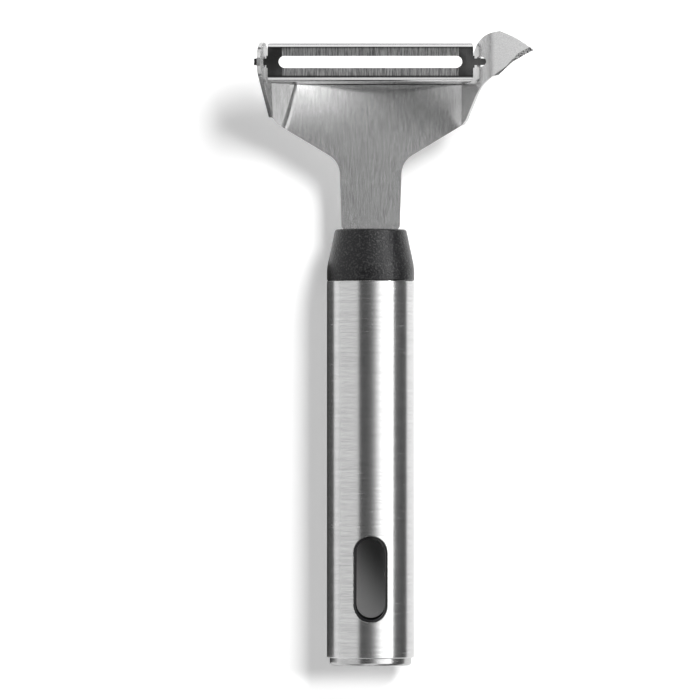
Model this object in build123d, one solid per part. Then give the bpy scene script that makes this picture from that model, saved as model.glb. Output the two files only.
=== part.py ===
from build123d import *
import math
import os

# A crosswise vegetable peeler: a steel tube handle, a one-piece stamped steel head
# with two arms, and a double-edged blade that swings between the arms.
# Millimetres. The origin is the middle of the flat butt face, +Y runs up the handle
# to the blade, +X is to the eye remover and +Z is the face that meets the vegetable.

os.makedirs("parts", exist_ok=True)

# Handle tube
tube_diameter = 25.4
tube_wall = 0.8
tube_length = 109.4
tube_edge_break = 0.25
seat_clearance = 0.02

# End cap, a drawn cup pressed into the tube
cap_stand = 2.3
cap_sheet = 0.8
cap_skirt_in_tube = 5.5
cap_edge_radius = 1.0

# Hanging slot, cut through the tube, and the moulded core behind it
hang_centre_from_butt = 25.2
hang_slot_length = 24.9
hang_slot_width = 9.8
hang_slot_break = 0.2
core_rim_width = 0.7
core_sleeve_wall = 2.2
core_disc_thickness = 2.4
core_clear_of_slot = 2.5

# Collar, moulded round the tang
collar_height = 14.9
collar_taper = 2.35
collar_cone_angle = 12.0
collar_blend_radius = 15.0
collar_edge_break = 0.35
collar_foot_break = 0.3
plug_length = 26.0
plug_groove_width = 2.4
plug_groove_depth = 1.4
plug_groove_from_top = 5.0

# Stamped head: tang, neck and plate, measured from the top of the collar
head_sheet = 1.0
tang_width = 12.0
tang_length = 21.0
tang_hole_diameter = 4.0
tang_hole_from_collar = 8.0
tang_clearance = 0.02
neck_width_at_collar = 16.9
neck_width_at_top = 18.2
neck_corner_radius = 1.2
neck_fillet_radius = 6.6
neck_length = 19.85
bend_start_from_collar = 22.0
shoulder_from_collar = 31.6
plate_front_from_collar = 42.6
plate_sag_at_front = 1.4

# Arms, measured outwards from the end of the blade and along the handle from its pivot
shoulder_inset = 0.95
pivot_from_collar = 48.0
pivot_height = 14.0
pivot_hole_diameter = 3.2
ear_lobe_radius = 5.7
corner_rise = 3.4

# Left arm: a flank that widens towards the blade, then a steep ear
left_ear_gap = 0.95
left_ear_angle = 79.0
left_fold_rise_at_shoulder = 2.9
left_fold_rise_at_front = 5.2
left_crease_inset_at_shoulder = 5.15
left_crease_inset_at_front = 8.45
left_fold_radius = 1.0
left_crease_radius = 3.0
left_corner_cut = 2.0
left_corner_lift = 0.9
left_corner_radius = 3.0

# Right arm: one steep wall that flares out into the eye remover
right_crease_inset = 3.25
right_arm_angle = 71.0
right_corner_radius = 1.2
flare_start_rise = 11.5
flare_radius = 6.5
arm_trim_angle = 30.0
arm_front_out = 0.65
arm_front_ahead = 4.0
arm_rear_out = 2.15
arm_rear_behind = 7.4

# Eye remover, a leaf on the right arm, seen from above
leaf_angle = 14.0
leaf_hollow_radius = 70.0
leaf_root_out = 5.75
leaf_root_behind = 4.2
leaf_root_bow_out = 3.65
leaf_root_bow_behind = 5.7
leaf_edge_out = 11.9
leaf_edge_behind = 1.6
leaf_tip_out = 17.25
leaf_tip_ahead = 2.95
leaf_back_out = 12.9
leaf_back_ahead = 6.15
leaf_top_out = 7.6
leaf_top_ahead = 8.75
leaf_shoulder_out = 3.85
leaf_shoulder_ahead = 7.7
leaf_grind_angle = 48.0

# Blade
blade_sheet = 0.8
blade_half_length = 29.65
blade_web_half_width = 4.15
blade_roll_radius = 1.5
blade_skirt_length = 3.8
blade_skirt_angle = 4.0
blade_end_radius = 4.5
blade_corner_radius = 1.5
blade_rest_tilt = 2.0
blade_slot_length = 53.0
blade_slot_width = 3.5
blade_grind_length = 51.0
blade_grind_end_run = 0.6
blade_edge_thickness = 0.25
tongue_root_half_width = 1.75
tongue_root_length = 0.4
tongue_width = 1.9
tongue_out = 3.95

# One overrun serves every cut that has to pass right through
overrun = 20.0

# Sizes worked out from the ones above
tube_radius = tube_diameter / 2
tube_bore_radius = tube_radius - tube_wall
tube_top = cap_stand + tube_length
seat_radius = tube_bore_radius - seat_clearance
collar_top = tube_top + collar_height
tang_hole = collar_top - tang_hole_from_collar
half_sheet = head_sheet / 2
neck_top = collar_top + neck_length
bend_start = collar_top + bend_start_from_collar
shoulder = collar_top + shoulder_from_collar
plate_front = collar_top + plate_front_from_collar
pivot = collar_top + pivot_from_collar
shoulder_half_width = blade_half_length - shoulder_inset
shoulder_slope = (shoulder - neck_top) / (shoulder_half_width - neck_width_at_top / 2)
right_crease_x = blade_half_length - right_crease_inset


def along_handle(length, width, centre):
    """An obround sketch on the XY plane, long along the handle."""
    return Pos(0, centre) * SlotOverall(length, width, rotation=90)


def make_handle_tube():
    """Drawn steel tube, edges eased, with the hanging slot cut through both walls."""
    wall = Pos(tube_bore_radius + tube_wall / 2, cap_stand + tube_length / 2)
    section = wall * Rectangle(tube_wall, tube_length)
    outer = section.vertices().sort_by(Axis.X)[-2:]
    tube = revolve(chamfer(outer, tube_edge_break), axis=Axis.Y)
    slot = along_handle(hang_slot_length, hang_slot_width, hang_centre_from_butt)
    tube -= extrude(slot, amount=tube_diameter, both=True)
    mouths = tube.edges().filter_by(lambda edge: edge_on_slot_mouth(edge))
    return chamfer(mouths, hang_slot_break)


def edge_on_slot_mouth(edge):
    """True for an edge where the slot leaves the outer face of the tube."""
    middle = edge @ 0.5
    radius = math.hypot(middle.X, middle.Z)
    reach = hang_slot_length / 2 + hang_slot_break
    near_slot = abs(middle.Y - hang_centre_from_butt) < reach
    return near_slot and abs(radius - tube_radius) < tube_wall / 4


def make_hanging_core():
    """Moulded core inside the tube: two discs joined by the sleeve of the slot."""
    half_length = hang_slot_length / 2 + core_clear_of_slot
    low = hang_centre_from_butt - half_length
    high = hang_centre_from_butt + half_length
    disc_face = Circle(seat_radius)
    low_disc = extrude(Plane.XZ.offset(-low) * disc_face, amount=-core_disc_thickness)
    high_disc = extrude(Plane.XZ.offset(-high) * disc_face, amount=core_disc_thickness)
    opening_length = hang_slot_length - 2 * core_rim_width
    opening_width = hang_slot_width - 2 * core_rim_width
    sleeve_length = opening_length + 2 * core_sleeve_wall
    sleeve_width = opening_width + 2 * core_sleeve_wall
    sleeve = along_handle(sleeve_length, sleeve_width, hang_centre_from_butt)
    spine_length = high - low - core_disc_thickness
    spine = Pos(0, hang_centre_from_butt) * Rectangle(core_sleeve_wall, spine_length)
    round_bar = extrude(Plane.XZ.offset(-low) * disc_face, amount=low - high)
    inner = extrude(sleeve + spine, amount=tube_diameter, both=True) & round_bar
    core = inner + low_disc + high_disc
    opening = along_handle(opening_length, opening_width, hang_centre_from_butt)
    return core - extrude(opening, amount=tube_diameter, both=True)


def make_end_cap():
    """Drawn steel cup, closed end outwards, its skirt pressed into the tube."""
    depth = cap_stand + cap_skirt_in_tube
    cup = Pos(seat_radius / 2, depth / 2) * Rectangle(seat_radius, depth)
    foot = cup.vertices().group_by(Axis.Y)[0].sort_by(Axis.X)[-1]
    cup = fillet(foot, cap_edge_radius)
    hollow_radius = seat_radius - cap_sheet
    hollow_depth = depth - cap_sheet
    hollow = Pos(hollow_radius / 2, cap_sheet + hollow_depth / 2)
    cup -= hollow * Rectangle(hollow_radius, hollow_depth)
    return revolve(cup, axis=Axis.Y)


def make_collar():
    """Moulded collar: a cone above the tube and a grooved plug inside it, round the tang."""
    top_radius = tube_radius - collar_taper
    cone_run = collar_taper / math.tan(math.radians(collar_cone_angle))
    outline = Polyline(
        (0, tube_top),
        (tube_radius, tube_top),
        (tube_radius, collar_top - cone_run),
        (top_radius, collar_top),
        (0, collar_top),
        close=True,
    )
    section = make_face(outline)
    belly = section.vertices().sort_by_distance((tube_radius, collar_top - cone_run, 0))[0]
    section = fillet(belly, collar_blend_radius)
    foot = section.vertices().sort_by_distance((tube_radius, tube_top, 0))[0]
    section = chamfer(foot, collar_foot_break)
    edge = section.vertices().sort_by_distance((top_radius, collar_top, 0))[0]
    section = chamfer(edge, collar_edge_break)
    plug = Pos(seat_radius / 2, tube_top - plug_length / 2)
    section += plug * Rectangle(seat_radius, plug_length)
    middle = tube_top - plug_groove_from_top - plug_groove_width / 2
    groove = Pos(seat_radius, middle) * Rectangle(2 * plug_groove_depth, plug_groove_width)
    section -= groove
    collar = revolve(section, axis=Axis.Y)
    pocket_length = tang_length + tang_clearance + overrun
    pocket_middle = collar_top - tang_length - tang_clearance + pocket_length / 2
    pocket = Pos(0, pocket_middle, 0) * Box(
        tang_width + 2 * tang_clearance,
        pocket_length,
        head_sheet + 2 * tang_clearance,
    )
    collar -= pocket
    key_radius = tang_hole_diameter / 2 - tang_clearance
    key_depth = head_sheet + 2 * tang_clearance
    return collar + Pos(0, tang_hole, 0) * Cylinder(key_radius, key_depth)


def plan_outline():
    """Plan of the blank from the tang to the shoulders, with open land for the arms."""
    tang_end = collar_top - tang_length
    neck_low = neck_width_at_collar / 2
    neck_high = neck_width_at_top / 2
    side = shoulder_half_width + overrun
    front = plate_front + overrun
    cut_x = shoulder_half_width - left_corner_cut
    cut_place = shoulder - left_corner_cut * shoulder_slope
    lift_place = shoulder + left_corner_lift
    right = [
        (tang_width / 2, tang_end),
        (tang_width / 2, collar_top),
        (neck_low, collar_top),
        (neck_high, neck_top),
        (shoulder_half_width, shoulder),
        (side, shoulder),
        (side, front),
    ]
    left = [
        (-side, front),
        (-side, lift_place),
        (-shoulder_half_width, lift_place),
        (-cut_x, cut_place),
        (-neck_high, neck_top),
        (-neck_low, collar_top),
        (-tang_width / 2, collar_top),
        (-tang_width / 2, tang_end),
    ]
    points = right + left
    face = make_face(Polyline(*points, close=True))
    corner = face.vertices().sort_by_distance((-cut_x, cut_place, 0))[0]
    face = fillet(corner, left_corner_radius)
    corners = face.vertices()
    necks = [v for v in corners if abs(v.Y - neck_top) < half_sheet]
    face = fillet(necks, neck_fillet_radius)
    corners = face.vertices().filter_by(lambda v: abs(v.Y - collar_top) < half_sheet)
    feet = [v for v in corners if abs(v.X) > (tang_width + neck_low) / 3]
    return fillet(feet, neck_corner_radius)


def between(place, at_shoulder, at_front):
    """A size that changes evenly from the shoulder to the front of the plate."""
    share = (place - shoulder) / (plate_front - shoulder)
    return at_shoulder + share * (at_front - at_shoulder)


def left_ear_x(height):
    """Where the upper side of the left ear stands at a height, left of the middle."""
    steep = math.tan(math.radians(left_ear_angle))
    return -(blade_half_length + left_ear_gap + (height - pivot_height) / steep)


def offset_corners(points):
    """The same open run of points, one sheet thickness away on the lower side."""
    moved = []
    last = len(points) - 1
    for index, (x, z) in enumerate(points):
        before = points[max(index - 1, 0)]
        after = points[min(index + 1, last)]
        first = math.atan2(z - before[1], x - before[0])
        second = math.atan2(after[1] - z, after[0] - x)
        if index == 0:
            first = second
        if index == last:
            second = first
        heading = (first + second) / 2
        reach = head_sheet / math.cos((second - first) / 2)
        moved.append((x + reach * math.sin(heading), z - reach * math.cos(heading)))
    return moved


def bent_run(place, points, radii):
    """Edges along an open run of points, each corner but the last bent to its radius."""
    starts = [points[0]]
    edges = []
    for index, radius in enumerate(radii, start=1):
        corner = points[index]
        before = points[index - 1]
        after = points[index + 1]
        first = math.atan2(corner[1] - before[1], corner[0] - before[0])
        second = math.atan2(after[1] - corner[1], after[0] - corner[0])
        turn = second - first
        run = radius * math.tan(abs(turn) / 2)
        middle = (first + second) / 2
        reach = radius * (1 / math.cos(turn / 2) - 1)
        enter = (corner[0] - run * math.cos(first), corner[1] - run * math.sin(first))
        leave = (corner[0] + run * math.cos(second), corner[1] + run * math.sin(second))
        crown = (corner[0] - reach * math.sin(middle), corner[1] + reach * math.cos(middle))
        edges.append(section_line(place, starts[-1], enter))
        edges.append(Edge.make_three_point_arc(
            (enter[0], place, enter[1]), (crown[0], place, crown[1]), (leave[0], place, leave[1])))
        starts.append(leave)
    return edges, starts[-1]


def channel_section(place):
    """Closed section of the plate, the left flank and the left ear at one place."""
    ear_rise = pivot_height + 2 * ear_lobe_radius
    rise = between(place, left_fold_rise_at_shoulder, left_fold_rise_at_front)
    inset = between(place, left_crease_inset_at_shoulder, left_crease_inset_at_front)
    fold_height = half_sheet + rise
    upper = [
        (left_ear_x(ear_rise), ear_rise),
        (left_ear_x(fold_height), fold_height),
        (inset - blade_half_length, half_sheet),
        (right_crease_x, half_sheet),
    ]
    lower = offset_corners(upper)
    lower[-1] = (right_crease_x + right_mitre(), -half_sheet)
    sag = plate_sag_at_front * (place - bend_start) / (plate_front - bend_start)
    inner_radii = [left_fold_radius, left_crease_radius]
    outer_radii = [radius + head_sheet for radius in inner_radii]
    top_edges, top_last = bent_run(place, upper, inner_radii)
    low_edges, low_last = bent_run(place, lower, outer_radii)
    edges = top_edges
    edges.append(section_bow(place, top_last, upper[3], sag))
    edges.append(section_line(place, upper[3], lower[3]))
    edges.append(section_bow(place, lower[3], low_last, sag))
    edges.extend(reversed(low_edges))
    edges.append(section_line(place, lower[0], upper[0]))
    return Wire(edges)


def right_mitre():
    """How far the lower side of the right crease lies beyond the upper side."""
    return head_sheet * math.tan(math.radians(right_arm_angle / 2))


def section_line(place, start, end):
    """A straight edge across the handle at one place along it."""
    return Edge.make_line((start[0], place, start[1]), (end[0], place, end[1]))


def section_bow(place, start, end, sag):
    """An edge that dips by sag in its middle, or a straight one where sag is nothing."""
    if sag <= 0:
        return section_line(place, start, end)
    middle = ((start[0] + end[0]) / 2, place, (start[1] + end[1]) / 2 - sag)
    first = (start[0], place, start[1])
    last = (end[0], place, end[1])
    return Edge.make_three_point_arc(first, middle, last)


def touch_on_circle(point, centre, radius, side):
    """Where a line from point touches a circle, on its left (1) or right (-1) side."""
    away_x = centre[0] - point[0]
    away_y = centre[1] - point[1]
    distance = math.hypot(away_x, away_y)
    spread = math.acos(radius / distance)
    heading = math.atan2(-away_y, -away_x) - side * spread
    return (centre[0] + radius * math.cos(heading), centre[1] + radius * math.sin(heading))


def side_outline():
    """Side view of the plate and the left ear, as place along the handle and height."""
    rear = (shoulder + left_corner_lift, half_sheet + left_fold_rise_at_shoulder)
    front = (plate_front, half_sheet)
    centre = (pivot, pivot_height)
    rear_touch = touch_on_circle(rear, centre, ear_lobe_radius, 1)
    front_touch = touch_on_circle(front, centre, ear_lobe_radius, -1)
    away = (centre[0] - (rear[0] + front[0]) / 2, centre[1] - (rear[1] + front[1]) / 2)
    share = ear_lobe_radius / math.hypot(*away)
    crown = (centre[0] + share * away[0], centre[1] + share * away[1])
    floor = -overrun
    lines = [
        Line((bend_start, floor), (bend_start, rear[1])),
        Line((bend_start, rear[1]), rear),
        Line(rear, rear_touch),
        ThreePointArc(rear_touch, crown, front_touch),
        Line(front_touch, front),
        Line(front, (plate_front, floor)),
        Line((plate_front, floor), (bend_start, floor)),
    ]
    return Plane.YZ * make_face(lines)


def make_channel():
    """Plate, left flank and left ear, bent up from the flat and trimmed."""
    front = pivot + 2 * ear_lobe_radius
    sections = [channel_section(bend_start), channel_section(front)]
    bent = Solid.make_loft(sections, ruled=True)
    plan = extrude(plan_outline(), amount=2 * overrun, both=True)
    side = extrude(side_outline(), amount=3 * overrun, both=True)
    return bent & plan & side


def arm_upper_side():
    """Corner points and headings of the right arm, along its upper side."""
    steep = math.radians(right_arm_angle)
    flat = math.radians(leaf_angle)
    crease = (right_crease_x, half_sheet)
    start = (crease[0] + flare_start_rise / math.tan(steep), crease[1] + flare_start_rise)
    end = (start[0] + flare_radius * (math.sin(steep) - math.sin(flat)),
           start[1] + flare_radius * (math.cos(flat) - math.cos(steep)))
    return crease, start, end, steep, flat


def arm_height(x):
    """Height of the upper side of the right arm at a distance from the middle."""
    crease, start, end, steep, flat = arm_upper_side()
    if x <= start[0]:
        return crease[1] + (x - crease[0]) * math.tan(steep)
    if x <= end[0]:
        heading = math.asin(math.sin(steep) - (x - start[0]) / flare_radius)
        return start[1] + flare_radius * (math.cos(heading) - math.cos(steep))
    heading = math.asin(math.sin(flat) + (x - end[0]) / leaf_hollow_radius)
    return end[1] + leaf_hollow_radius * (math.cos(flat) - math.cos(heading))


def arm_section():
    """Closed section of the right arm across the handle, from crease to leaf tip."""
    crease, start, end, steep, flat = arm_upper_side()
    mean = (steep + flat) / 2
    centre = (start[0] + flare_radius * math.sin(steep),
              start[1] - flare_radius * math.cos(steep))
    inner = flare_radius - head_sheet

    def on_flare(radius, heading):
        return (centre[0] - radius * math.sin(heading), centre[1] + radius * math.cos(heading))

    hollow = (end[0] - leaf_hollow_radius * math.sin(flat),
              end[1] + leaf_hollow_radius * math.cos(flat))
    outer = leaf_hollow_radius + head_sheet
    tip_x = blade_half_length + leaf_tip_out + 2 * head_sheet
    last = math.asin((tip_x - hollow[0]) / leaf_hollow_radius)
    middle = (flat + last) / 2

    def on_leaf(radius, heading):
        return (hollow[0] + radius * math.sin(heading), hollow[1] - radius * math.cos(heading))

    def bow(radius, headings, place_on):
        points = [place_on(radius, heading) for heading in headings]
        return Edge.make_three_point_arc(*[(x, 0, z) for x, z in points])

    mitre = (crease[0] + right_mitre(), -half_sheet)
    edges = [
        section_line(0, crease, start),
        bow(flare_radius, [steep, mean, flat], on_flare),
        bow(leaf_hollow_radius, [flat, middle, last], on_leaf),
        section_line(0, on_leaf(leaf_hollow_radius, last), on_leaf(outer, last)),
        bow(outer, [last, middle, flat], on_leaf),
        bow(inner, [flat, mean, steep], on_flare),
        section_line(0, on_flare(inner, steep), mitre),
        section_line(0, mitre, crease),
    ]
    return Face(Wire(edges))


def arm_trim_plane():
    """Plane in which the right arm is trimmed, between the slopes of arm and leaf."""
    lean = math.radians(arm_trim_angle)
    across = (math.cos(lean), 0, math.sin(lean))
    upward = (-math.sin(lean), 0, math.cos(lean))
    return Plane(origin=(0, 0, 0), x_dir=across, z_dir=upward)


def trim_point(x, place):
    """A point of the right arm's upper side, as seen in the trim plane."""
    lean = math.radians(arm_trim_angle)
    return (x * math.cos(lean) + arm_height(x) * math.sin(lean), place)


def by_blade(out, ahead):
    """A point of the right arm, out from the blade's end and ahead of the pivot."""
    return trim_point(blade_half_length + out, pivot + ahead)


def arm_outline():
    """Outline of the right arm and the leaf of the eye remover in the trim plane."""
    corner_x = right_crease_x + corner_rise / math.tan(math.radians(right_arm_angle))
    rear_root = shoulder - (shoulder_half_width - right_crease_x) * shoulder_slope
    lead = trim_point(right_crease_x, rear_root)
    start = (lead[0] - overrun, lead[1] - overrun * shoulder_slope)
    corner = trim_point(corner_x, shoulder)
    rear = by_blade(arm_rear_out, -arm_rear_behind)
    root_bow = by_blade(leaf_root_bow_out, -leaf_root_bow_behind)
    root = by_blade(leaf_root_out, -leaf_root_behind)
    edge = by_blade(leaf_edge_out, -leaf_edge_behind)
    tip = by_blade(leaf_tip_out, leaf_tip_ahead)
    back = by_blade(leaf_back_out, leaf_back_ahead)
    top = by_blade(leaf_top_out, leaf_top_ahead)
    leaf_shoulder = by_blade(leaf_shoulder_out, leaf_shoulder_ahead)
    front = by_blade(arm_front_out, arm_front_ahead)
    front_root = trim_point(right_crease_x, plate_front)
    close = (start[0], plate_front)
    lines = [
        Line(start, lead),
        Line(lead, corner),
        Line(corner, rear),
        ThreePointArc(rear, root_bow, root),
        ThreePointArc(root, edge, tip),
        ThreePointArc(tip, back, top),
        ThreePointArc(top, leaf_shoulder, front),
        Line(front, front_root),
        Line(front_root, close),
        Line(close, start),
    ]
    face = make_face(lines)
    sharp = face.vertices().sort_by_distance((corner[0], corner[1], 0))[0]
    return fillet(sharp, right_corner_radius)


def make_right_arm():
    """Right arm and eye remover, bent about lines along the handle and trimmed."""
    reach = pivot + leaf_top_ahead + overrun - bend_start
    bent = Pos(0, bend_start, 0) * extrude(arm_section(), amount=reach, dir=(0, 1, 0))
    trim = extrude(arm_trim_plane() * arm_outline(), amount=3 * overrun, both=True)
    return (bent & trim) - leaf_grinding()


def leaf_grinding():
    """What is ground off the leaf's lower side edge, outside a line from root to tip."""
    root_x = blade_half_length + leaf_root_out
    tip_x = blade_half_length + leaf_tip_out
    root = Vector(root_x, pivot - leaf_root_behind, arm_height(root_x))
    tip = Vector(tip_x, pivot + leaf_tip_ahead, arm_height(tip_x))
    along = (tip - root).normalized()
    outward = along.cross(Vector(0, 0, 1)).normalized()
    lean = math.radians(leaf_grind_angle)
    normal = outward * math.sin(lean) + Vector(0, 0, math.cos(lean))
    facet = Plane(origin=root, x_dir=along, z_dir=normal)
    corner = (Align.MIN, Align.MAX, Align.MIN)
    return facet * Box(overrun, overrun, overrun, align=corner)


def make_head_frame():
    """The whole stamped head: tang, neck, plate, two arms and the eye remover."""
    flat = extrude(plan_outline(), amount=half_sheet, both=True)
    half = Pos(0, bend_start - 3 * overrun, 0)
    flat &= half * Box(6 * overrun, 6 * overrun, 2 * overrun)
    head = flat + make_channel() + make_right_arm()
    head -= Pos(0, tang_hole, 0) * Cylinder(tang_hole_diameter / 2, overrun)
    across = Pos(0, pivot, pivot_height) * Rot(0, 90, 0)
    hole = across * Cylinder(pivot_hole_diameter / 2, 4 * overrun)
    return head - hole


def blade_section():
    """Section of the blade: a flat web with two skirts, about the pivot line."""
    lean = math.radians(blade_skirt_angle)
    sheet = blade_sheet
    top = sheet / 2
    turn = math.pi / 2 - lean
    radius = blade_roll_radius
    outer_turn = (blade_web_half_width + radius * math.sin(turn),
                  top - radius * (1 - math.cos(turn)))
    outer_bow = (blade_web_half_width + radius * math.sin(turn / 2),
                 top - radius * (1 - math.cos(turn / 2)))
    skirt_end = (outer_turn[0] + blade_skirt_length * math.sin(lean),
                 outer_turn[1] - blade_skirt_length * math.cos(lean))
    inward = (-sheet * math.cos(lean), -sheet * math.sin(lean))
    inner_end = (skirt_end[0] + inward[0], skirt_end[1] + inward[1])
    inner_turn = (outer_turn[0] + inward[0], outer_turn[1] + inward[1])
    inner_bow = (blade_web_half_width + (radius - sheet) * math.sin(turn / 2),
                 top - radius + (radius - sheet) * math.cos(turn / 2))
    right = [
        Line((0, top), (blade_web_half_width, top)),
        ThreePointArc((blade_web_half_width, top), outer_bow, outer_turn),
        Line(outer_turn, skirt_end),
        Line(skirt_end, inner_end),
        Line(inner_end, inner_turn),
        ThreePointArc(inner_turn, inner_bow, (blade_web_half_width, top - sheet)),
        Line((blade_web_half_width, top - sheet), (0, top - sheet)),
        Line((0, top - sheet), (0, top)),
    ]
    half = make_face(right)
    return half + mirror(half, about=Plane.YZ)


def make_blade():
    """Swinging blade: ground web with the peel slot, skirts and two end tongues."""
    across = Plane(origin=(0, 0, 0), x_dir=(0, 1, 0), z_dir=(1, 0, 0))
    body = extrude(across * blade_section(), amount=blade_half_length, both=True)
    box = body.bounding_box()
    middle = (box.min.Z + box.max.Z) / 2
    ends = Plane.XZ * Pos(0, middle) * Rectangle(2 * blade_half_length, box.size.Z)
    low = ends.vertices().group_by(Axis.Z)[0]
    body &= extrude(fillet(low, blade_end_radius), amount=overrun, both=True)
    plan = RectangleRounded(2 * blade_half_length, box.size.Y, blade_corner_radius)
    body &= extrude(plan, amount=overrun, both=True)
    top = blade_sheet / 2
    ground = blade_edge_thickness - top
    grind = Polyline(
        (-blade_web_half_width, top),
        (-blade_slot_width / 2, ground),
        (blade_slot_width / 2, ground),
        (blade_web_half_width, top),
        close=True,
    )
    grind_half = blade_grind_length / 2
    hollow = extrude(across * make_face(grind), amount=grind_half, both=True)
    pocket = Polyline(
        (-grind_half, top),
        (-grind_half + blade_grind_end_run, ground),
        (grind_half - blade_grind_end_run, ground),
        (grind_half, top),
        close=True,
    )
    hollow &= extrude(Plane.XZ * make_face(pocket), amount=overrun, both=True)
    body -= hollow
    slot = SlotOverall(blade_slot_length, blade_slot_width)
    body -= extrude(slot, amount=overrun, both=True)
    inner = blade_half_length - tongue_root_half_width
    root_reach = blade_half_length + tongue_root_length
    reach = blade_half_length + tongue_out
    for side in (-1, 1):
        body += Pos(side * (inner + root_reach) / 2, 0, 0) * Box(
            root_reach - inner, 2 * tongue_root_half_width, blade_sheet)
        body += Pos(side * (inner + reach) / 2, 0, 0) * Box(
            reach - inner, tongue_width, blade_sheet)
    placed = Pos(0, pivot, pivot_height) * Rot(-blade_rest_tilt, 0, 0)
    return placed * body


pieces = {
    "head_frame": make_head_frame(),
    "swivel_blade": make_blade(),
    "collar": make_collar(),
    "handle_tube": make_handle_tube(),
    "hanging_core": make_hanging_core(),
    "end_cap": make_end_cap(),
}
for name, piece in pieces.items():
    export_step(piece, f"parts/{name}.step")
    box = piece.bounding_box()
    print(name, len(piece.solids()), round(piece.volume, 1), box.size)
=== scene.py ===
import math

import bpy
from mathutils import Matrix, Vector

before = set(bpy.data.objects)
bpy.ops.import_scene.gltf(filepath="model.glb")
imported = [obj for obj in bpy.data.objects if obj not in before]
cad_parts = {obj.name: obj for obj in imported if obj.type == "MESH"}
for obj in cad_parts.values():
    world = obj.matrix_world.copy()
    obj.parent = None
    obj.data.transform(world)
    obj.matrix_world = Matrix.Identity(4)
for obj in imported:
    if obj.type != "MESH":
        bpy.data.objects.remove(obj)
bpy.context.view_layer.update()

# Handle tube: drawn steel, 25.4 mm across, turned and brushed round its girth, so fine
# lines run round it and the light draws out along it. The slot near the butt is punched
# through both walls.

MM = 0.001
line_height = 0.01 * MM
broad_scale = 0.3
broad_share = 0.35
streak_low, streak_high = 0.32, 0.68


class Wiring:
    """A node tree, with short ways to add nodes. Each input takes a value or the output
    of another node."""

    def __init__(self, tree):
        self.tree = tree

    def feed(self, socket, source):
        """Links the socket to another node's output, or sets it to a value."""
        if isinstance(source, bpy.types.NodeSocket):
            self.tree.links.new(source, socket)
        else:
            socket.default_value = source

    def node(self, kind, inputs=None, **settings):
        """A node of this kind. Its settings come first, as they decide on its sockets."""
        node = self.tree.nodes.new(kind)
        for name, value in settings.items():
            setattr(node, name, value)
        for name, source in (inputs or {}).items():
            self.feed(node.inputs[name], source)
        return node

    def calc(self, operation, *sources):
        """The result of a Math node."""
        node = self.node("ShaderNodeMath", dict(enumerate(sources)), operation=operation)
        return node.outputs["Value"]

    def ramp(self, value, low, high, out_low=0.0, out_high=1.0, ends="SMOOTHSTEP"):
        """The result of a Map Range node, which takes low to out_low and high to out_high."""
        inputs = {"Value": value, "From Min": low, "From Max": high,
                  "To Min": out_low, "To Max": out_high}
        node = self.node("ShaderNodeMapRange", inputs, interpolation_type=ends)
        return node.outputs["Result"]

    def noise(self, vector, scale, detail=2.0, roughness=0.5):
        """The value of a Noise Texture node."""
        inputs = {"Vector": vector, "Scale": scale, "Detail": detail, "Roughness": roughness}
        return self.node("ShaderNodeTexNoise", inputs).outputs["Fac"]

    def blend(self, factor, first, second):
        """A colour between the first and the second."""
        inputs = {"Factor": factor, "A": first, "B": second}
        return self.node("ShaderNodeMix", inputs, data_type="RGBA").outputs["Result"]


class Finish(Wiring):
    """A new material that has only its output yet, with Object coordinates at hand."""

    def __init__(self, name):
        self.material = bpy.data.materials.new(name)
        self.material.use_nodes = True
        super().__init__(self.material.node_tree)
        self.tree.nodes.clear()
        self.surface = self.node("ShaderNodeOutputMaterial").inputs["Surface"]
        self.place = self.node("ShaderNodeTexCoord").outputs["Object"]

    def squeezed(self, lines_per_mm):
        """Object coordinates squeezed to this many lines a mm along each axis."""
        scale = [count / MM for count in lines_per_mm]
        inputs = {"Vector": self.place, "Scale": scale}
        return self.node("ShaderNodeMapping", inputs).outputs["Vector"]


def new_group(name, inputs, outputs):
    """A node group with these sockets, its wiring, and what comes in by the inputs."""
    group = bpy.data.node_groups.new(name, "ShaderNodeTree")
    for way, sockets in (("INPUT", inputs), ("OUTPUT", outputs)):
        for socket, kind in sockets.items():
            group.interface.new_socket(socket, in_out=way, socket_type="NodeSocket" + kind)
    wiring = Wiring(group)
    return group, wiring, wiring.node("NodeGroupInput").outputs


def make_brushing_group():
    """Brushed lines. A fine noise and a broad one, both on squeezed coordinates, are
    mixed, streak = 0.65 * fine + 0.35 * broad, and stretched to run from 0 to 1.
    Roughness = level + (streak - 0.5) * spread, and the streak lifts the surface."""
    group, wiring, given = new_group(
        "brushed_lines",
        {"Lines": "Vector", "Level": "Float", "Spread": "Float", "Depth": "Float"},
        {"Streak": "Float", "Roughness": "Float", "Normal": "Vector"})
    fine = wiring.noise(given["Lines"], 1.0, detail=3.0, roughness=0.65)
    broad = wiring.noise(given["Lines"], broad_scale, detail=1.0)
    mixed = wiring.node("ShaderNodeMix", {"Factor": broad_share, "A": fine, "B": broad})
    streak = wiring.ramp(mixed.outputs["Result"], streak_low, streak_high, ends="LINEAR")
    centred = wiring.calc("SUBTRACT", streak, 0.5)
    roughness = wiring.calc("MULTIPLY_ADD", centred, given["Spread"], given["Level"])
    bump = wiring.node("ShaderNodeBump", {
        "Strength": given["Depth"], "Distance": line_height, "Height": streak})
    wiring.node("NodeGroupOutput", {
        "Streak": streak, "Roughness": roughness, "Normal": bump.outputs["Normal"]})
    return group


brushed_lines = make_brushing_group()


def grey(level):
    """A grey as a colour with alpha."""
    return (level, level, level, 1)


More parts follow.
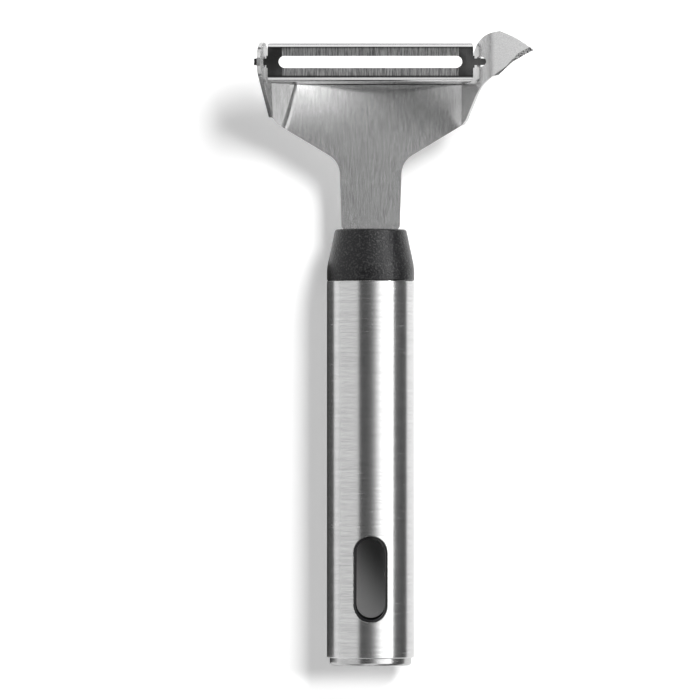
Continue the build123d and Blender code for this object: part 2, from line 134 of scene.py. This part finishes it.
class Steel(Finish):
    """A brushed steel, its colour a grey that the streaks vary by the contrast."""

    def __init__(self, name, lines_per_mm, level, contrast, roughness, spread,
                 anisotropy, tangent, depth):
        super().__init__(name)
        self.lines = self.node("ShaderNodeGroup", {
            "Lines": self.squeezed(lines_per_mm), "Level": roughness,
            "Spread": spread, "Depth": depth}, node_tree=brushed_lines)
        self.colour = self.blend(self.lines.outputs["Streak"],
                                 grey(level * (1 - contrast)), grey(level * (1 + contrast)))
        way = self.node("ShaderNodeCombineXYZ", dict(enumerate(tangent)))
        self.metal = self.node("ShaderNodeBsdfPrincipled", {
            "Metallic": 1.0, "Anisotropic": anisotropy, "Base Color": self.colour,
            "Roughness": self.lines.outputs["Roughness"],
            "Normal": self.lines.outputs["Normal"], "Tangent": way.outputs["Vector"]})
        self.feed(self.surface, self.metal.outputs["BSDF"])


def dress(node, finish):
    """Gives a CAD node this finish in its only slot."""
    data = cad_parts[node].data
    data.materials.clear()
    data.materials.append(finish.material)


tube_steel = Steel("tube_steel", (0.25, 4.5, 0.25), level=0.61, contrast=0.13,
                   roughness=0.26, spread=0.03, anisotropy=0.5, tangent=(0, 1, 0),
                   depth=0.06)
dress("handle_tube", tube_steel)

# End cap: a shallow drawn cup of the same steel, smooth, pressed into the butt of the
# tube so that only its rounded rim stands out.

# Its grey is set darker than the tube's steel, a painted shade.
cap_steel = Steel("cap_steel", (0.3, 3.0, 0.3), level=0.52, contrast=0.08,
                  roughness=0.26, spread=0.04, anisotropy=0.3, tangent=(0, 1, 0),
                  depth=0.1)
dress("end_cap", cap_steel)

# Hanging core: black moulding inside the tube. Its sleeve lines the hanging slot and
# shows as a thin dark rim, smooth from the tool.

plastic_specular = 0.36
grain_height = 0.16 * MM
glint_low, glint_high = 0.5, 0.72
patches_per_mm = 0.25
patch_spread = 0.1


def make_grain_group():
    """The grain that an eroded tool face leaves on a moulding. The tops of a fine noise
    stand up and are painted paler as painted glints, and a coarse noise varies the
    roughness: level + (noise - 0.5) * spread."""
    group, wiring, given = new_group(
        "grain_and_glints",
        {"Place": "Vector", "Scale": "Float", "Depth": "Float", "Level": "Float",
         "Colour": "Color", "Glint": "Color"},
        {"Colour": "Color", "Roughness": "Float", "Normal": "Vector"})
    grain = wiring.noise(given["Place"], given["Scale"])
    # The tops of the grain are painted paler: painted glints.
    tops = wiring.ramp(grain, glint_low, glint_high, ends="LINEAR")
    patch = wiring.noise(given["Place"], patches_per_mm / MM)
    centred = wiring.calc("SUBTRACT", patch, 0.5)
    roughness = wiring.calc("MULTIPLY_ADD", centred, patch_spread, given["Level"])
    bump = wiring.node("ShaderNodeBump", {
        "Strength": given["Depth"], "Distance": grain_height, "Height": grain})
    wiring.node("NodeGroupOutput", {
        "Colour": wiring.blend(tops, given["Colour"], given["Glint"]),
        "Roughness": roughness, "Normal": bump.outputs["Normal"]})
    return group


grain_and_glints = make_grain_group()


class Plastic(Finish):
    """A black moulded plastic with its grain and painted glints."""

    def __init__(self, name, colour, glint, roughness, grain_per_mm, grain_depth):
        super().__init__(name)
        grain = self.node("ShaderNodeGroup", {
            "Place": self.place, "Scale": grain_per_mm / MM, "Depth": grain_depth,
            "Level": roughness, "Colour": (*colour, 1), "Glint": (*glint, 1)},
            node_tree=grain_and_glints)
        plastic = self.node("ShaderNodeBsdfPrincipled", {
            "Base Color": grain.outputs["Colour"], "Roughness": grain.outputs["Roughness"],
            "Specular IOR Level": plastic_specular, "Normal": grain.outputs["Normal"]})
        self.feed(self.surface, plastic.outputs["BSDF"])


core_plastic = Plastic("core_plastic", (0.010, 0.010, 0.011), (0.014, 0.014, 0.015),
                       roughness=0.35, grain_per_mm=3.0, grain_depth=0.05)
dress("hanging_core", core_plastic)

# Collar: black moulding on top of the tube, a short cone with a fine eroded grain whose
# pale specks are painted glints. Its plug goes down inside the tube and holds the tang of the
# head.

collar_plastic = Plastic("collar_plastic", (0.007, 0.007, 0.008), (0.05, 0.05, 0.05),
                         roughness=0.30, grain_per_mm=1.8, grain_depth=1.0)
dress("collar", collar_plastic)

# Head: one stamping of 1 mm steel sheet, brushed along the handle before it was bent.
# The plate is dished between its two folds, and the side edge of the eye remover's leaf
# is ground to a cutting edge that stays rough.

dish_start, dish_end = 151.5, 169.2
dish_middle = 2.6
dish_half_width = 24.0
dish_left, dish_right = 2.5, 4.0
fold_start, fold_end = 0.9, 1.2
leaf_start, leaf_end = 34.0, 36.0
leaf_root = (39.3, 172.0)
leaf_bend = (43.0, 176.0)
leaf_tip = (47.1, 178.2)
leaf_extra_roughness = 0.12
satin_per_mm = 3.6
satin_low, satin_high = 0.36, 0.64
satin_dark, satin_light = 0.82, 0.98
ground_width = 0.9
ground_softness = 0.15
mottle_per_mm = 2.4
mottle_low, mottle_high = 0.38, 0.66
mottle_dark, mottle_light = 0.08, 0.75
front_edge = 168.75
front_left, front_right = -23.0, 26.0
front_fade = 1.0
edge_shade_softness = 0.15
highlight_start, highlight_end = 1.6, 0.2
highlight_gain = 0.12


def place_in_mm(finish):
    """Object coordinates as three values in mm."""
    split = finish.node("ShaderNodeSeparateXYZ", {0: finish.place})
    return [finish.calc("DIVIDE", axis, MM) for axis in split.outputs]


def product(finish, first, *others):
    """All of these values multiplied."""
    for other in others:
        first = finish.calc("MULTIPLY", first, other)
    return first


def dimmed(finish, colour, level):
    """A colour times a level."""
    inputs = {"Vector": colour, "Scale": level}
    return finish.node("ShaderNodeVectorMath", inputs, operation="SCALE").outputs["Vector"]


head_steel = Steel("head_steel", (6.5, 0.65, 0.65), level=0.56, contrast=0.15,
                   roughness=0.25, spread=0.03, anisotropy=0.95, tangent=(1, 0, 0),
                   depth=0.04)
across_mm, along_mm, height_mm = place_in_mm(head_steel)

# The dish shades deeper than the sheet is bent: (distance from its middle / half width)
# squared, times the depth of that side, fading in along the plate and out in the folds.
from_middle = head_steel.calc("SUBTRACT", across_mm, dish_middle)
share_across = head_steel.calc("DIVIDE", from_middle, dish_half_width)
to_right = head_steel.calc("GREATER_THAN", from_middle, 0.0)
dish_depth = head_steel.calc("MULTIPLY_ADD", to_right, dish_right - dish_left, dish_left)
share_along = head_steel.ramp(along_mm, dish_start, dish_end)
below_folds = head_steel.ramp(height_mm, fold_end, fold_start)
bowl = product(head_steel, share_across, share_across, dish_depth, share_along, below_folds)
dish = head_steel.node("ShaderNodeBump", {
    "Strength": 1.0, "Distance": MM, "Height": bowl,
    "Normal": head_steel.lines.outputs["Normal"]})
head_steel.feed(head_steel.metal.inputs["Normal"], dish.outputs["Normal"])


def outside_line(first, second):
    """Distance in mm from the line through two points of the outline, positive on its
    right: (x - x1) * dy - (y - y1) * dx, with (dx, dy) the line's unit direction."""
    way = Vector((second[0] - first[0], second[1] - first[1])).normalized()
    by_x = product(head_steel, head_steel.calc("SUBTRACT", across_mm, first[0]), way.y)
    by_y = product(head_steel, head_steel.calc("SUBTRACT", along_mm, first[1]), -way.x)
    return head_steel.calc("ADD", by_x, by_y)


# The leaf is satin instead of brushed; its satin grain is real, and its pale grey is painted
# light.
on_leaf = head_steel.ramp(across_mm, leaf_start, leaf_end)
satin = head_steel.noise(head_steel.place, satin_per_mm / MM)
satin_and_painted_light = head_steel.blend(head_steel.ramp(satin, satin_low, satin_high),
                                grey(satin_dark), grey(satin_light))
leaf_and_painted_light = head_steel.blend(on_leaf, head_steel.colour, satin_and_painted_light)
leaf_roughness = head_steel.calc("MULTIPLY_ADD", on_leaf, leaf_extra_roughness,
                                 head_steel.lines.outputs["Roughness"])
head_steel.feed(head_steel.metal.inputs["Roughness"], leaf_roughness)

# The plate's front edge has a painted shade where the blade hides the light, and a painted
# highlight just behind it.
from_left = head_steel.ramp(across_mm, front_left - front_fade, front_left)
up_to_right = head_steel.ramp(across_mm, front_right, front_right + front_fade, 1.0, 0.0)
on_front = product(head_steel, from_left, up_to_right)
at_edge = head_steel.ramp(along_mm, front_edge - edge_shade_softness, front_edge + edge_shade_softness)
behind_edge = head_steel.ramp(along_mm, front_edge - highlight_start, front_edge - highlight_end)
painted_highlight = product(head_steel, behind_edge, on_front)
highlight_level = head_steel.calc("MULTIPLY_ADD", painted_highlight, highlight_gain, 1.0)
painted_edge_shade = product(head_steel, at_edge, on_front)
front_shade_and_highlight = head_steel.calc("SUBTRACT", highlight_level, painted_edge_shade)
sheet_colour_with_painted_light = dimmed(head_steel, leaf_and_painted_light, front_shade_and_highlight)

# The ground strip follows the leaf's side edge, mottled from dark to light.
outside = head_steel.calc("MINIMUM", outside_line(leaf_root, leaf_bend),
                          outside_line(leaf_bend, leaf_tip))
in_strip = head_steel.ramp(outside, -ground_width - ground_softness,
                           -ground_width + ground_softness)
ground = product(head_steel, in_strip, on_leaf)
mottle = head_steel.noise(head_steel.place, mottle_per_mm / MM, detail=3.0)
mottle_colour = head_steel.blend(head_steel.ramp(mottle, mottle_low, mottle_high),
                                 grey(mottle_dark), grey(mottle_light))
head_steel.feed(head_steel.metal.inputs["Base Color"],
                head_steel.blend(ground, sheet_colour_with_painted_light, mottle_colour))
dress("head_frame", head_steel)

# Blade: hardened strip steel with rolled long sides and a slot. Both lips of the slot
# are ground hollow across the strip, so they are streaked; the rest is polished.

blade_middle = 174.6
grind_half_length = 25.5
grind_half_width = 4.15
scratches_per_mm = (4.0, 0.25, 0.25)
scratch_low, scratch_high = 0.36, 0.66
scratch_dark, scratch_light = 0.14, 0.46
upper_lip_light_level, lower_lip_shade_level = 1.05, 0.58
lip_extra_roughness = 0.24
clouds_per_mm = 0.14
cloud_low, cloud_high = 0.38, 0.62
web_shade_dark, web_shade_light = 0.36, 0.68
border_core, border_end = 0.15, 0.4
border_shade_level = 0.45

blade_steel = Steel("blade_steel", (4.5, 0.25, 0.25), level=0.62, contrast=0.03,
                    roughness=0.13, spread=0.03, anisotropy=0.5, tangent=(1, 0, 0),
                    depth=0.05)
across_mm, along_mm = place_in_mm(blade_steel)[:2]
from_centre = blade_steel.calc("SUBTRACT", along_mm, blade_middle)
off_centre = blade_steel.calc("ABSOLUTE", from_centre)
in_length = blade_steel.calc("LESS_THAN", blade_steel.calc("ABSOLUTE", across_mm),
                             grind_half_length)
in_width = blade_steel.calc("LESS_THAN", off_centre, grind_half_width)
ground = product(blade_steel, in_length, in_width)

# A painted shade line borders the ground strip, and the webs at its ends are painted darker
# in clouds, a painted dark reflection.
from_border = blade_steel.calc("SUBTRACT", off_centre, grind_half_width)
painted_border_shade = blade_steel.ramp(blade_steel.calc("ABSOLUTE", from_border), border_core,
                          border_end, border_shade_level, 1.0)
end_web = blade_steel.calc("SUBTRACT", in_width, ground)
cloud = blade_steel.noise(blade_steel.place, clouds_per_mm / MM)
web_shade_cloud = blade_steel.ramp(cloud, cloud_low, cloud_high, web_shade_dark, web_shade_light)
web_shade_change = blade_steel.calc("SUBTRACT", web_shade_cloud, 1.0)
web_shade_level = blade_steel.calc("MULTIPLY_ADD", end_web, web_shade_change, 1.0)
polish_shade_level = product(blade_steel, web_shade_level, painted_border_shade)
polish_and_painted_shade = dimmed(blade_steel, blade_steel.colour, polish_shade_level)

# The lips are scratched across the blade; the lower one is painted darker, a painted shade
# for its lean away from the light.
scratches = blade_steel.noise(blade_steel.squeezed(scratches_per_mm), 1.0, detail=4.0,
                              roughness=0.7)
scratch_colour = blade_steel.blend(
    blade_steel.ramp(scratches, scratch_low, scratch_high),
    grey(scratch_dark), grey(scratch_light))
lower_lip = blade_steel.calc("LESS_THAN", from_centre, 0.0)
lip_shade_level = blade_steel.calc("MULTIPLY_ADD", lower_lip, lower_lip_shade_level - upper_lip_light_level,
                             upper_lip_light_level)
scratches_and_painted_shade = dimmed(blade_steel, scratch_colour, product(blade_steel, lip_shade_level, painted_border_shade))
lip_roughness = blade_steel.calc("MULTIPLY_ADD", ground, lip_extra_roughness,
                                 blade_steel.lines.outputs["Roughness"])
blade_steel.feed(blade_steel.metal.inputs["Base Color"],
                 blade_steel.blend(ground, polish_and_painted_shade, scratches_and_painted_shade))
blade_steel.feed(blade_steel.metal.inputs["Roughness"], lip_roughness)
dress("swivel_blade", blade_steel)

# Floor: white paper under the peeler. The camera sees it white with the shadows and brighter
# far off, with a painted shade under the handle, where the hanging slot is looked through,
# and painted light below the butt. The steel mirrors it white too, but with a painted shade
# left of the handle and a painted dark reflection far right.

floor_level = -12.7 * MM
floor_half = 3.0
floor_glow = 0.40
floor_white = 0.85
painted_mirror_dark = 0.12
handle_shade_box = (-10.0, 10.0, 3.0, 122.0)
mirror_shade_box = (-56.0, 8.0, 0.0, 118.0)
box_softness = 2.0
slot_slant = 1.4
slot_dark_at, slot_light_at = 36.0, 10.0
slot_painted_light = 0.34
butt_start, butt_end = -1.0, -8.0
butt_painted_light = 1.2
right_start, right_end = 58.0, 66.0
far_middle = Vector((0.0, 90.0 * MM, floor_level))
far_start, far_end = 150.0 * MM, 320.0 * MM
far_gain = 1.5

paper = Finish("floor_paper")
across_mm, along_mm = place_in_mm(paper)[:2]


def flat_sheet(name, corner, opposite, height, finish):
    """A level sheet between two corners. It faces up if they run to +X, else down."""
    mesh = bpy.data.meshes.new(name)
    (x1, y1), (x2, y2) = corner, opposite
    outline = [(x1, y1, height), (x2, y1, height), (x2, y2, height), (x1, y2, height)]
    mesh.from_pydata(outline, [], [(0, 1, 2, 3)])
    mesh.materials.append(finish.material)
    sheet = bpy.data.objects.new(name, mesh)
    bpy.context.collection.objects.link(sheet)
    return sheet


def inside_box(low_x, high_x, low_y, high_y):
    """1 inside a rectangle of the floor, given in mm, 0 outside it, soft at its sides."""
    return product(
        paper, paper.ramp(across_mm, low_x - box_softness, low_x),
        paper.ramp(across_mm, high_x, high_x + box_softness, 1.0, 0.0),
        paper.ramp(along_mm, low_y - box_softness, low_y),
        paper.ramp(along_mm, high_y, high_y + box_softness, 1.0, 0.0))


floor = flat_sheet("floor", (-floor_half, -floor_half), (floor_half, floor_half),
                   floor_level, paper)

# To the camera: a painted shade under the handle, lighter towards the slot's lit end as a
# painted pool of light, and painted light below the butt that fades the shadow there.
slant = paper.calc("MULTIPLY_ADD", across_mm, slot_slant, along_mm)
painted_slot_light = paper.ramp(slant, slot_dark_at, slot_light_at, 0.0, slot_painted_light)
painted_handle_shade = product(paper, inside_box(*handle_shade_box), paper.calc("SUBTRACT", 1.0, painted_slot_light))
painted_light_below_butt = paper.ramp(along_mm, butt_start, butt_end, 0.0, butt_painted_light)
from_peeler = paper.node("ShaderNodeVectorMath", {0: paper.place, 1: far_middle},
                         operation="DISTANCE")
far_off = paper.ramp(from_peeler.outputs["Value"], far_start, far_end, 0.0, far_gain)
open_floor = paper.calc("ADD", paper.calc("SUBTRACT", 1.0, painted_handle_shade),
                        paper.calc("ADD", painted_light_below_butt, far_off))

# To the steel: a painted shade to the handle's left and a painted dark reflection far to the
# right.
clear_of_mirror_shade = paper.calc("SUBTRACT", 1.0, inside_box(*mirror_shade_box))
clear_of_right_shade = paper.ramp(across_mm, right_start, right_end, 1.0, 0.0)
unshaded_in_mirror = product(paper, clear_of_mirror_shade, clear_of_right_shade)
painted_mirror_shade = paper.calc("SUBTRACT", 1.0, unshaded_in_mirror)

rays = paper.node("ShaderNodeLightPath").outputs
mirrored = paper.calc("MAXIMUM", rays["Is Glossy Ray"], rays["Is Transmission Ray"])
to_camera = product(paper, rays["Is Camera Ray"], open_floor)
to_steel = product(paper, mirrored, unshaded_in_mirror)
glow_level = product(paper, paper.calc("MAXIMUM", to_camera, to_steel), floor_glow)
painted_shade_to_steel = product(paper, mirrored, painted_mirror_shade)
whiteness = paper.calc("MULTIPLY_ADD", painted_shade_to_steel, painted_mirror_dark - floor_white, floor_white)
matt = paper.node("ShaderNodeBsdfDiffuse", {"Color": whiteness})
glow = paper.node("ShaderNodeEmission", {"Strength": glow_level})
both = paper.node("ShaderNodeAddShader", {0: matt.outputs["BSDF"],
                                          1: glow.outputs["Emission"]})
paper.feed(paper.surface, both.outputs["Shader"])

# Studio: a dim room, a shadow lamp high on the right beyond the blade, and soft panels
# that show only where they are mirrored: a wide and a small bright one to the right, one
# to the left and one at each end. A thin veil overhead fades out from right to left.

room_level = 0.13
lamp_target = Vector((0.0, 130.0, 0.0)) * MM
veil_height = 1.0
veil_near, veil_far = -0.3, 0.6
veil_left, veil_dark, veil_right = -0.6, -0.25, 0.385
veil_low, veil_gain, veil_power = 0.05, 1.45, 3.4

world = bpy.data.worlds.new("studio")
bpy.context.scene.world = world
world.use_nodes = True
background = world.node_tree.nodes["Background"]
background.inputs["Color"].default_value = (1, 1, 1, 1)
background.inputs["Strength"].default_value = room_level


def facing(place, way):
    """A placement with its +Z along way and its +Y as near to the world's as can be."""
    up = (Vector((0, 1, 0)) - way * way.y).normalized()
    turn = Matrix((up.cross(way), up, way)).transposed().to_4x4()
    return Matrix.Translation(place) @ turn


def softbox(name, angle, lean, half_angle, half_lean, radiance, mirrored_only=True):
    """A rectangular lamp 1 m from the head. It stands at angle from straight up towards
    +X and at lean towards +Y, and its half sides are 1 m * tan of the half angles.
    watts = radiance * area * pi."""
    angle, lean = math.radians(angle), math.radians(lean)
    away = Vector((math.sin(angle) * math.cos(lean), math.sin(lean),
                   math.cos(angle) * math.cos(lean)))
    data = bpy.data.lights.new(name, "AREA")
    data.shape = "RECTANGLE"
    data.size = 2 * math.tan(math.radians(half_angle))
    data.size_y = 2 * math.tan(math.radians(half_lean))
    data.energy = radiance * data.size * data.size_y * math.pi
    lamp = bpy.data.objects.new(name, data)
    bpy.context.collection.objects.link(lamp)
    lamp.matrix_world = facing(lamp_target + away, away)
    lamp.visible_diffuse = not mirrored_only
    lamp.visible_glossy = mirrored_only


softbox("right_panel", angle=41.5, lean=10.0, half_angle=20.0, half_lean=42.0, radiance=1.65)
softbox("right_core", angle=53.0, lean=14.0, half_angle=6.0, half_lean=20.0, radiance=5.0)
softbox("left_panel", angle=-68.0, lean=0.0, half_angle=37.5, half_lean=45.0, radiance=0.74)
softbox("far_panel", angle=0.0, lean=46.0, half_angle=18.0, half_lean=32.0, radiance=1.15)
softbox("near_panel", angle=0.0, lean=-50.0, half_angle=18.0, half_lean=26.0, radiance=0.95)
softbox("shadow_lamp", angle=27.0, lean=29.0, half_angle=8.0, half_lean=13.0, radiance=27.0,
        mirrored_only=False)

veil_cloth = Finish("veil_cloth")
veil = flat_sheet("veil", (veil_right, veil_near), (veil_left, veil_far), veil_height,
                  veil_cloth)
veil.visible_camera = False
veil.visible_diffuse = False
veil.visible_shadow = False
veil.visible_transmission = False
rise = veil_cloth.ramp(place_in_mm(veil_cloth)[0], veil_dark / MM, veil_right / MM,
                       ends="LINEAR")
curved_rise = veil_cloth.calc("POWER", rise, veil_power)
veil_level = veil_cloth.calc("MULTIPLY_ADD", curved_rise, veil_gain, veil_low)
glow = veil_cloth.node("ShaderNodeEmission", {"Strength": veil_level})
veil_cloth.feed(veil_cloth.surface, glow.outputs["Emission"])

# Camera: nearly straight above, a little towards the butt, at the distance that gives
# the photograph's slight perspective.

camera_place = Vector((8.5, 69.8, 1820.0)) * MM
camera_aim = Vector((-6.0, 91.6, 0.0)) * MM
camera_data = bpy.data.cameras.new("camera")
camera_data.sensor_width = 36.0
camera_data.lens = 322.0
camera_data.clip_end = 20.0
camera = bpy.data.objects.new("camera", camera_data)
bpy.context.collection.objects.link(camera)
camera.matrix_world = facing(camera_place, (camera_place - camera_aim).normalized())
bpy.context.scene.camera = camera
bpy.context.scene.view_settings.view_transform = "Standard"
